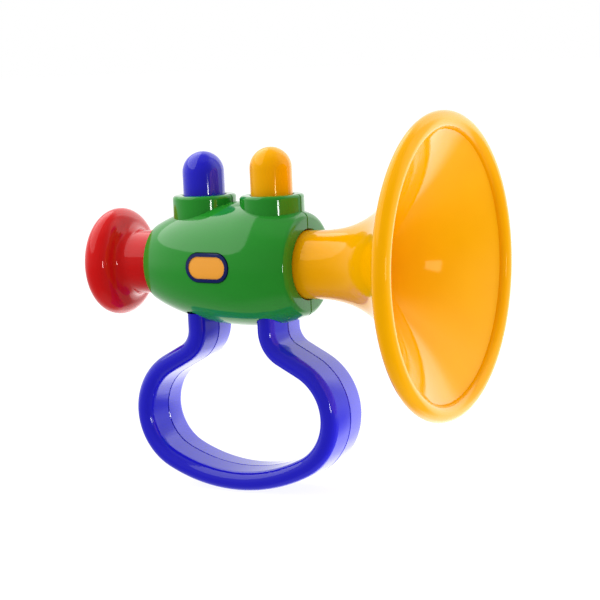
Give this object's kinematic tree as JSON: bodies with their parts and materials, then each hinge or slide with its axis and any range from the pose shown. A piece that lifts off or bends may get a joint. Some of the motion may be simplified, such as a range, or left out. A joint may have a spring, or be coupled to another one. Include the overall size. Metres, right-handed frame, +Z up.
{
  "type": "toy trumpet",
  "caption": "Toddler's plastic toy trumpet with a flared bell, a rounded mouthpiece, squeaker push buttons on top of a barrel body and a wide strap handle bent into a loop below.",
  "frame": {"origin": "under the middle of the toy, at the height of the handle's lowest point", "axes": "+X along the trumpet from the mouthpiece to the bell, +Z up through the buttons, +Y to the rear, away from the badge plate; the shells part on the plane y = 0"},
  "size_m": [0.14, 0.106, 0.1344],
  "materials": {
    "body_green": "moulded, high gloss",
    "blue": "moulded, high gloss",
    "bell_yellow": "moulded, high gloss",
    "button_yellow": "moulded, high gloss",
    "mouthpiece_red": "moulded, high gloss",
    "badge": "moulded, blank, with a dark blue rim",
    "bellows": "blown soft polyethylene",
    "reed": "moulded",
    "click_spring": "moulded acetal",
    "screw": "zinc plated"
  },
  "bodies": {
    "housing": {"front_shell": "body_green", "rear_shell": "body_green", "badge_plate": "badge", "blue_button_bellows": "bellows", "yellow_button_bellows": "bellows", "blue_button_reed": "reed", "yellow_button_reed": "reed", "bell_click_spring": "click_spring", "mouthpiece_click_spring": "click_spring", "handle_front_half": "blue", "handle_rear_half": "blue", "body_screw_1": "screw", "body_screw_2": "screw", "body_screw_3": "screw", "handle_screw_1": "screw", "handle_screw_2": "screw", "handle_screw_3": "screw", "handle_screw_4": "screw"},
    "bell": {"bell": "bell_yellow"},
    "mouthpiece": {"mouthpiece": "mouthpiece_red"},
    "blue_button": {"blue_button": "blue"},
    "yellow_button": {"yellow_button": "button_yellow"}
  },
  "joints": [
    {"name": "bell_turn", "type": "hinge", "parent": "housing", "child": "bell", "pos_m": [0.0105, 0, 0.08146], "axis": [1, 0, 0], "continuous": true},
    {"name": "mouthpiece_turn", "type": "hinge", "parent": "housing", "child": "mouthpiece", "pos_m": [-0.0424, 0, 0.08146], "axis": [1, 0, 0], "continuous": true},
    {"name": "blue_press", "type": "slide", "parent": "housing", "child": "blue_button", "axis": [0, 0, -1], "range_m": [0, 0.005], "stiffness_N_per_m": 400, "springref_m": -0.003, "deforming": ["blue_button_bellows"]},
    {"name": "yellow_press", "type": "slide", "parent": "housing", "child": "yellow_button", "axis": [0, 0, -1], "range_m": [0, 0.005], "stiffness_N_per_m": 400, "springref_m": -0.003, "deforming": ["yellow_button_bellows"]}
  ]
}
